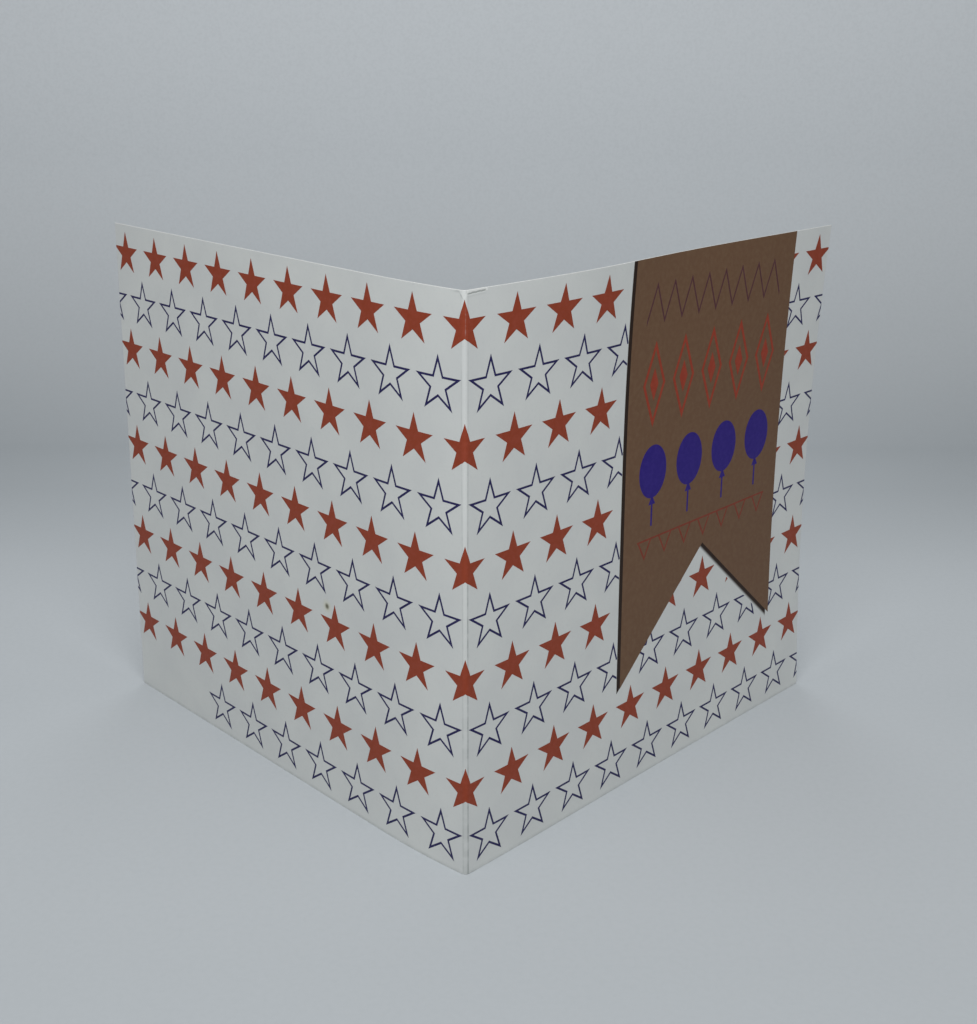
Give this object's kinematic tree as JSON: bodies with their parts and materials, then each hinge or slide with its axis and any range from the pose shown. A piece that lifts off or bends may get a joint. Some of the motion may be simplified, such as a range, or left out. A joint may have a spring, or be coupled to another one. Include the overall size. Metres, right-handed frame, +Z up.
{
  "type": "greeting card",
  "caption": "Square folded greeting card standing open, printed with rows of filled and outlined stars and a swallow-tailed banner.",
  "frame": {"origin": "under the middle of the standing card's bounding box, on the surface that its bottom edges stand on", "axes": "+Z up along the fold; the fold points to -Y, towards the viewer; +X to the right, across both free edges, with the banner on the +X panel"},
  "size_m": [0.191, 0.0956, 0.135],
  "materials": {
    "coated_board": "satin coated white board",
    "red_ink": "offset printed brick red",
    "navy_ink": "offset printed navy line",
    "kraft_print": "printed kraft brown",
    "shadow_ink": "printed dark brown shadow",
    "plum_ink": "offset printed plum line",
    "red_banner_ink": "offset printed red line over brown",
    "blue_ink": "offset printed deep blue",
    "red_line_ink": "offset printed thin red line over brown"
  },
  "bodies": {
    "root": {"card": "coated_board", "red_stars": "red_ink", "blue_stars": "navy_ink", "kraft_banner": "kraft_print", "banner_shadow": "shadow_ink", "plum_zigzag": "plum_ink", "red_lozenges": "red_banner_ink", "blue_balloons": "blue_ink", "red_pennants": "red_line_ink"}
  },
  "joints": []
}
